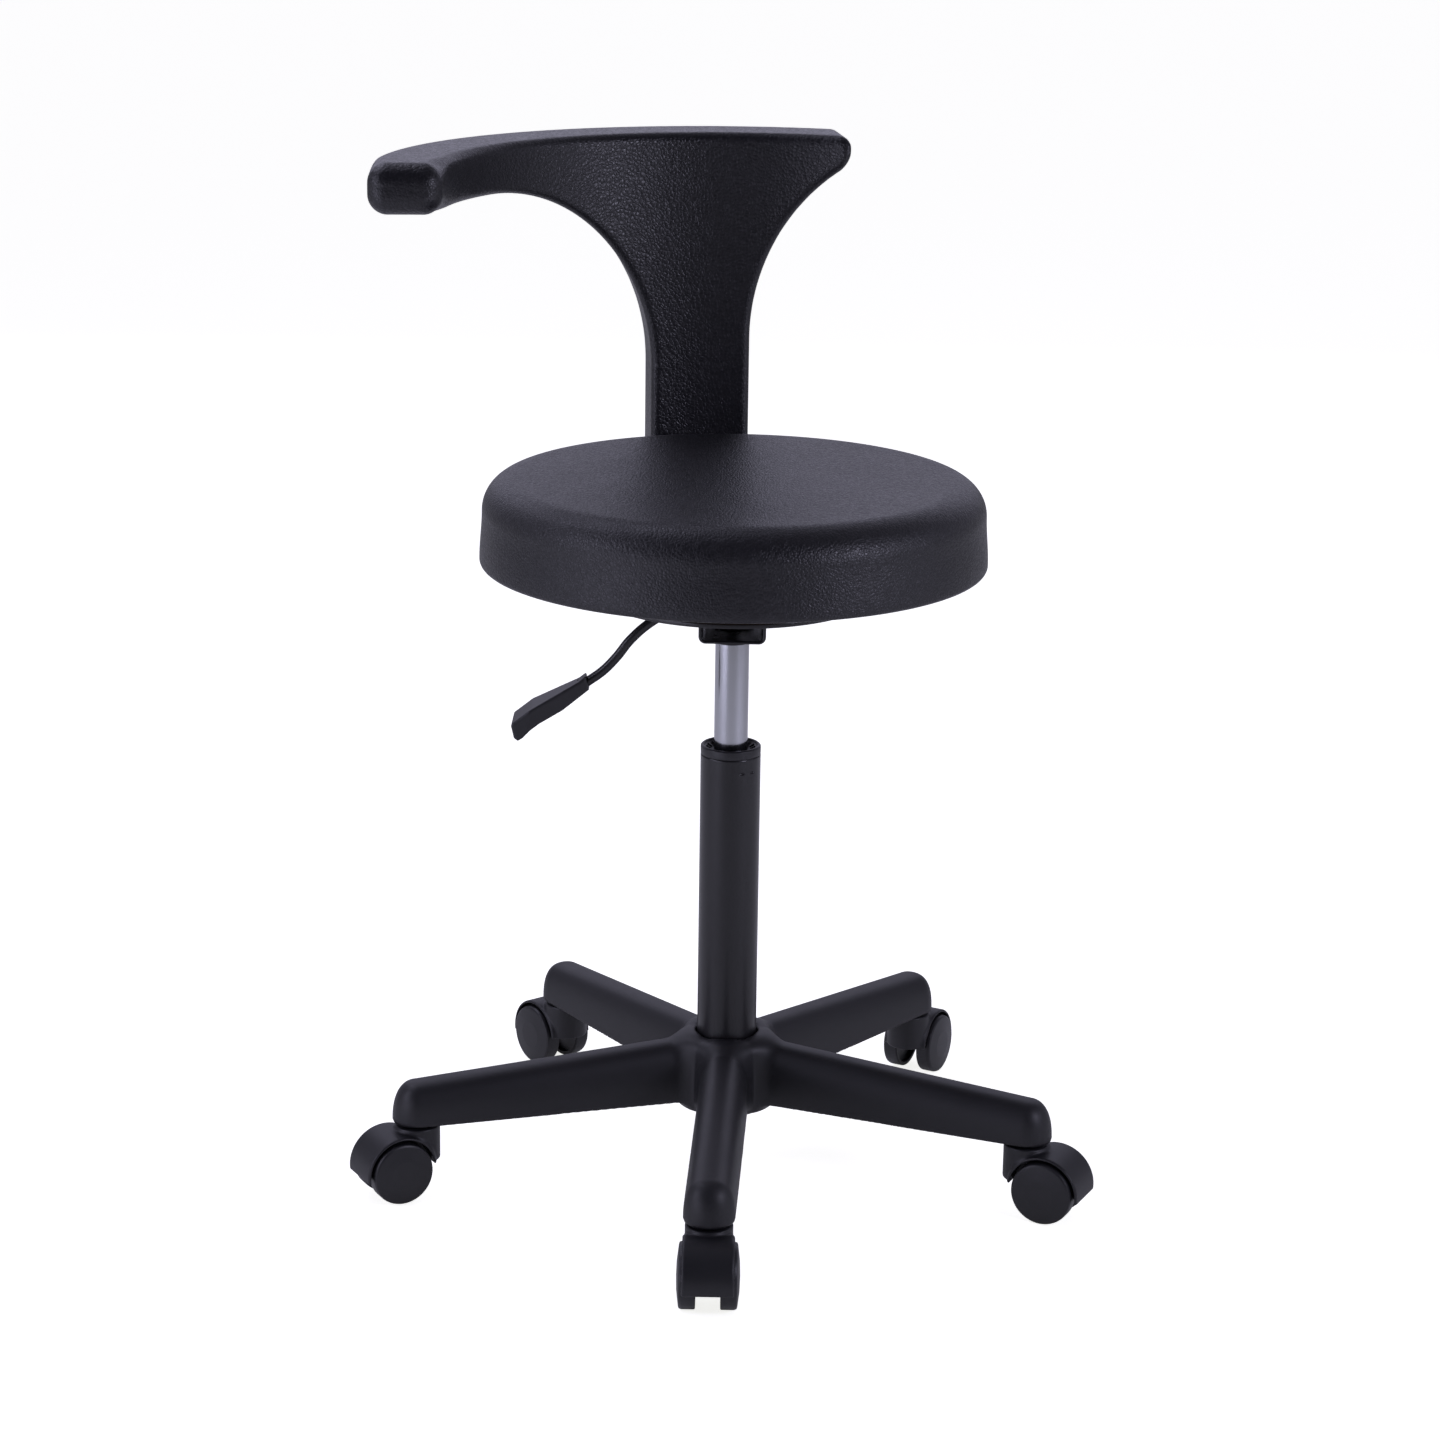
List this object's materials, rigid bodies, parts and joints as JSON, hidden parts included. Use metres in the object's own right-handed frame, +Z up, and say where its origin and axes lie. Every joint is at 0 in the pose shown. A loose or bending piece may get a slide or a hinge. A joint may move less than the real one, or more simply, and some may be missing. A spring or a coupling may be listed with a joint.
{
  "type": "adjustable swivel stool",
  "caption": "Black swivel stool: round moulded seat, curved arm-and-backrest pad, gas-sprung column with a height lever, five-leg base on twin-wheel castors.",
  "frame": {"origin": "on the floor, under the axis of the column", "axes": "+Z up, -Y to the front of the stool, -X to the side of the height lever"},
  "size_m": [0.6204, 0.6148, 0.85],
  "materials": {
    "skin": "satin",
    "nylon": "satin",
    "wheel_plastic": "satin",
    "black_steel": "satin",
    "cast_aluminium": "satin",
    "bright_steel": "polished",
    "rubber": "matte",
    "wood": "matte",
    "white_nylon": "satin"
  },
  "bodies": {
    "base": {"base_star": "nylon", "hub_sleeve": "bright_steel", "column_tube": "black_steel", "guide_bush": "nylon", "bearing_washer_lower": "bright_steel", "bearing_cage": "bright_steel", "castor_stem_1": "bright_steel", "castor_stem_2": "bright_steel", "castor_stem_3": "bright_steel", "castor_stem_4": "bright_steel", "castor_stem_5": "bright_steel"},
    "rod": {"piston_rod": "bright_steel", "piston": "bright_steel", "retaining_clip": "bright_steel", "bearing_washer_upper": "bright_steel", "rubber_buffer": "rubber"},
    "seat": {"gas_cylinder": "bright_steel", "taper_socket": "black_steel", "mechanism_channel": "black_steel", "mounting_plate": "black_steel", "seat_bolt_1": "bright_steel", "seat_bolt_2": "bright_steel", "seat_bolt_3": "bright_steel", "seat_bolt_4": "bright_steel", "swing_washer_lower": "white_nylon", "swing_washer_upper": "white_nylon", "swing_hub": "cast_aluminium", "seat_board": "wood", "seat_cushion": "skin"},
    "backrest": {"swing_plate": "black_steel", "backrest_bar": "black_steel", "backrest_bolt_1": "bright_steel", "backrest_bolt_2": "bright_steel", "backrest_pad": "skin"},
    "lever": {"lever_rod": "black_steel", "lever_grip": "nylon", "lever_bush": "white_nylon"},
    "button": {"release_button": "bright_steel"},
    "castor_1": {"castor_hood_1": "nylon", "castor_axle_1": "bright_steel"},
    "wheel_left_1": {"castor_wheel_left_1": "wheel_plastic"},
    "wheel_right_1": {"castor_wheel_right_1": "wheel_plastic"},
    "castor_2": {"castor_hood_2": "nylon", "castor_axle_2": "bright_steel"},
    "wheel_left_2": {"castor_wheel_left_2": "wheel_plastic"},
    "wheel_right_2": {"castor_wheel_right_2": "wheel_plastic"},
    "castor_3": {"castor_hood_3": "nylon", "castor_axle_3": "bright_steel"},
    "wheel_left_3": {"castor_wheel_left_3": "wheel_plastic"},
    "wheel_right_3": {"castor_wheel_right_3": "wheel_plastic"},
    "castor_4": {"castor_hood_4": "nylon", "castor_axle_4": "bright_steel"},
    "wheel_left_4": {"castor_wheel_left_4": "wheel_plastic"},
    "wheel_right_4": {"castor_wheel_right_4": "wheel_plastic"},
    "castor_5": {"castor_hood_5": "nylon", "castor_axle_5": "bright_steel"},
    "wheel_left_5": {"castor_wheel_left_5": "wheel_plastic"},
    "wheel_right_5": {"castor_wheel_right_5": "wheel_plastic"}
  },
  "joints": [
    {"name": "seat_swivel", "type": "hinge", "parent": "base", "child": "rod", "pos_m": [0, 0, 0.0605], "axis": [0, 0, 1], "continuous": true},
    {"name": "seat_lift", "type": "slide", "parent": "rod", "child": "seat", "axis": [0, 0, 1], "range_m": [-0.085, 0.055]},
    {"name": "backrest_swing", "type": "hinge", "parent": "seat", "child": "backrest", "pos_m": [0, 0, 0.503], "axis": [0, 0, 1], "continuous": true},
    {"name": "lever_pull", "type": "hinge", "parent": "seat", "child": "lever", "pos_m": [-0.026, 0, 0.4898], "axis": [0, 1, 0], "range_deg": [0, 6], "stiffness_Nm_per_rad": 8, "springref_deg": -1.15},
    {"name": "button_press", "type": "slide", "parent": "seat", "child": "button", "axis": [0, 0, -1], "range_m": [0, 0.0028]},
    {"name": "castor_swivel_1", "type": "hinge", "parent": "base", "child": "castor_1", "pos_m": [-0.01071, -0.26659, 0.0606], "axis": [0, 0, 1], "continuous": true},
    {"name": "wheel_left_spin_1", "type": "hinge", "parent": "castor_1", "child": "wheel_left_1", "pos_m": [-0.01078, -0.28879, 0.0264], "axis": [1, -0.0035, 0], "continuous": true},
    {"name": "wheel_right_spin_1", "type": "hinge", "parent": "castor_1", "child": "wheel_right_1", "pos_m": [-0.01078, -0.28879, 0.0264], "axis": [1, -0.0035, 0], "continuous": true},
    {"name": "castor_swivel_2", "type": "hinge", "parent": "base", "child": "castor_2", "pos_m": [0.25023, -0.09256, 0.0606], "axis": [0, 0, 1], "continuous": true},
    {"name": "wheel_left_spin_2", "type": "hinge", "parent": "castor_2", "child": "wheel_left_2", "pos_m": [0.27016, -0.10233, 0.0264], "axis": [0.4399, 0.898, 0], "continuous": true},
    {"name": "wheel_right_spin_2", "type": "hinge", "parent": "castor_2", "child": "wheel_right_2", "pos_m": [0.27016, -0.10233, 0.0264], "axis": [0.4399, 0.898, 0], "continuous": true},
    {"name": "castor_swivel_3", "type": "hinge", "parent": "base", "child": "castor_3", "pos_m": [0.16536, 0.20938, 0.0606], "axis": [0, 0, 1], "continuous": true},
    {"name": "wheel_left_spin_3", "type": "hinge", "parent": "castor_3", "child": "wheel_left_3", "pos_m": [0.17547, 0.22914, 0.0264], "axis": [-0.8902, 0.4555, 0], "continuous": true},
    {"name": "wheel_right_spin_3", "type": "hinge", "parent": "castor_3", "child": "wheel_right_3", "pos_m": [0.17547, 0.22914, 0.0264], "axis": [-0.8902, 0.4555, 0], "continuous": true},
    {"name": "castor_swivel_4", "type": "hinge", "parent": "base", "child": "castor_4", "pos_m": [-0.14803, 0.22196, 0.0606], "axis": [0, 0, 1], "continuous": true},
    {"name": "wheel_left_spin_4", "type": "hinge", "parent": "castor_4", "child": "wheel_left_4", "pos_m": [-0.16179, 0.23939, 0.0264], "axis": [-0.7848, -0.6198, 0], "continuous": true},
    {"name": "wheel_right_spin_4", "type": "hinge", "parent": "castor_4", "child": "wheel_right_4", "pos_m": [-0.16179, 0.23939, 0.0264], "axis": [-0.7848, -0.6198, 0], "continuous": true},
    {"name": "castor_swivel_5", "type": "hinge", "parent": "base", "child": "castor_5", "pos_m": [-0.25685, -0.0722, 0.0606], "axis": [0, 0, 1], "continuous": true},
    {"name": "wheel_left_spin_5", "type": "hinge", "parent": "castor_5", "child": "wheel_left_5", "pos_m": [-0.27609, -0.08326, 0.0264], "axis": [0.4985, -0.8669, 0], "continuous": true},
    {"name": "wheel_right_spin_5", "type": "hinge", "parent": "castor_5", "child": "wheel_right_5", "pos_m": [-0.27609, -0.08326, 0.0264], "axis": [0.4985, -0.8669, 0], "continuous": true}
  ],
  "couplings": [
    {"joint": "button_press", "follows": "lever_pull", "m_per_rad": 0.026}
  ]
}
